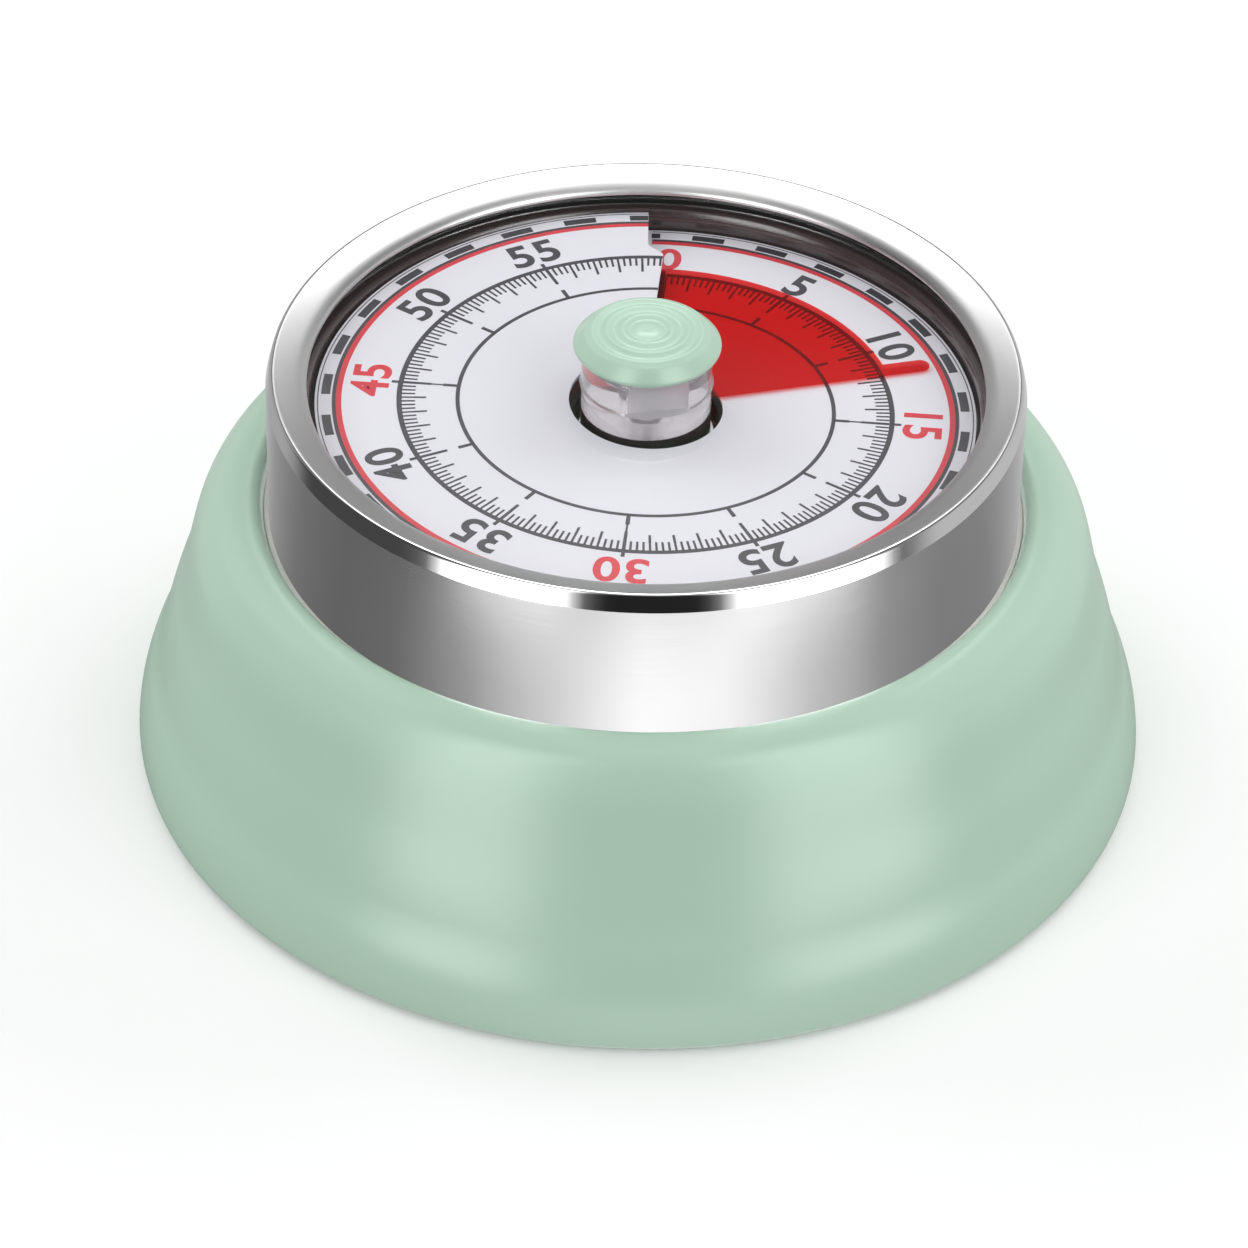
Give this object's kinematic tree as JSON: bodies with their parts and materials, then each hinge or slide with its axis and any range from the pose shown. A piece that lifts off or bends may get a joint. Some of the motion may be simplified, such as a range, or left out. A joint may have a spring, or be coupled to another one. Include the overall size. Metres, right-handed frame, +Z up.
{
  "type": "kitchen timer",
  "caption": "Round wind-up kitchen timer: domed plastic base, turning steel ring with a clear window and centre cap, printed dial, red film and a clockwork movement with a bell.",
  "frame": {"origin": "middle of the surface that the timer stands on", "axes": "+Z up along the dial's axis, -Y towards the person who reads the dial, +X to their right"},
  "size_m": [0.0702, 0.0702, 0.0333],
  "materials": {
    "mint_plastic": "glossy moulded plastic, mint green",
    "steel_ring": "satin spun steel with a polished chamfer",
    "clear_plastic": "clear polished plastic",
    "dark_plastic": "glossy moulded plastic, dark brown",
    "dial_print": "satin white sheet, printed",
    "red_film": "translucent red film",
    "rubber_foot": "matt rubber",
    "nylon": "natural nylon",
    "magnet_grey": "sintered ferrite",
    "brass": "stamped brass",
    "plate_steel": "stamped steel",
    "bright_steel": "turned steel",
    "spring_steel": "blued spring steel",
    "bell_metal": "pressed and plated steel"
  },
  "bodies": {
    "base": {"base_shell": "mint_plastic", "base_plate": "dark_plastic", "foot_ring": "rubber_foot", "magnet": "magnet_grey", "base_screws": "bright_steel", "glide_ring": "nylon", "dial": "dial_print", "dial_carrier": "dark_plastic", "carrier_screws": "bright_steel", "mainspring": "spring_steel", "spring_post": "bright_steel", "front_plate": "plate_steel", "back_plate": "plate_steel", "plate_pillars": "bright_steel", "plate_screws": "bright_steel", "movement_screws": "bright_steel", "stop_pin": "bright_steel", "bell": "bell_metal", "bell_screw": "bright_steel", "release_stud": "bright_steel", "release_spring": "spring_steel"},
    "head": {"bezel_ring": "steel_ring", "window_lens": "clear_plastic", "knob_cap": "mint_plastic", "knob_screw": "bright_steel", "film_hub": "dark_plastic", "red_film": "red_film", "main_arbor": "bright_steel", "strike_cam": "brass", "ratchet_wheel": "plate_steel"},
    "great": {"great_wheel": "brass", "click_stud": "bright_steel", "click_spring": "spring_steel"},
    "click": {"click": "plate_steel"},
    "second": {"second_arbor": "bright_steel", "second_wheel": "brass"},
    "third": {"third_arbor": "bright_steel", "third_wheel": "brass"},
    "escape": {"escape_arbor": "bright_steel", "escape_wheel": "brass"},
    "strike": {"strike_arbor": "bright_steel", "strike_wheel": "brass"},
    "balance": {"balance_staff": "bright_steel", "pallet_pins": "bright_steel", "balance_wheel": "plate_steel"},
    "hammer": {"hammer_arbor": "bright_steel", "hammer_pins": "bright_steel", "hammer_arm": "plate_steel", "hammer_flag": "plate_steel"},
    "release": {"release_lever": "plate_steel"}
  },
  "joints": [
    {"name": "setting_turn", "type": "hinge", "parent": "base", "child": "head", "pos_m": [0, 0, 0], "axis": [0, 0, -1], "range_deg": [-71, 279], "deforming": ["red_film", "mainspring"]},
    {"name": "great_wheel_turn", "type": "hinge", "parent": "base", "child": "great", "pos_m": [0, 0, 0], "axis": [0, 0, -1], "range_deg": [-71, 279]},
    {"name": "second_turn", "type": "hinge", "parent": "base", "child": "second", "pos_m": [-0.01541, -0.00561, 0], "axis": [0, 0, -1], "continuous": true},
    {"name": "third_turn", "type": "hinge", "parent": "base", "child": "third", "pos_m": [-0.0161, 0.00311, 0], "axis": [0, 0, -1], "continuous": true},
    {"name": "escape_turn", "type": "hinge", "parent": "base", "child": "escape", "pos_m": [-0.01221, 0.01095, 0], "axis": [0, 0, -1], "continuous": true},
    {"name": "strike_turn", "type": "hinge", "parent": "base", "child": "strike", "pos_m": [0.0082, -0.0142, 0], "axis": [0, 0, -1], "continuous": true},
    {"name": "balance_rock", "type": "hinge", "parent": "base", "child": "balance", "pos_m": [-0.00608, 0.01523, 0], "axis": [0, 0, 1], "range_deg": [-3, 3]},
    {"name": "hammer_rock", "type": "hinge", "parent": "base", "child": "hammer", "pos_m": [0.01045, -0.0181, 0], "axis": [0, 0, -1], "range_deg": [-3, 3]},
    {"name": "release_lift", "type": "hinge", "parent": "base", "child": "release", "pos_m": [0.004, -0.01039, 0], "axis": [0, 0, -1], "range_deg": [0, 2], "stiffness_Nm_per_rad": 0.001, "springref_deg": -5.73, "deforming": ["release_spring"]},
    {"name": "click_lift", "type": "hinge", "parent": "great", "child": "click", "pos_m": [-0.00799, 0.00256, 0], "axis": [0, 0, 1], "range_deg": [0, 8], "stiffness_Nm_per_rad": 0.001, "springref_deg": -5.73, "deforming": ["click_spring"]}
  ],
  "couplings": [
    {"joint": "great_wheel_turn", "follows": "setting_turn", "ratio": 1},
    {"joint": "second_turn", "follows": "setting_turn", "ratio": -7.2},
    {"joint": "third_turn", "follows": "setting_turn", "ratio": 43.2},
    {"joint": "escape_turn", "follows": "setting_turn", "ratio": -259.2},
    {"joint": "strike_turn", "follows": "setting_turn", "ratio": -7.2}
  ]
}
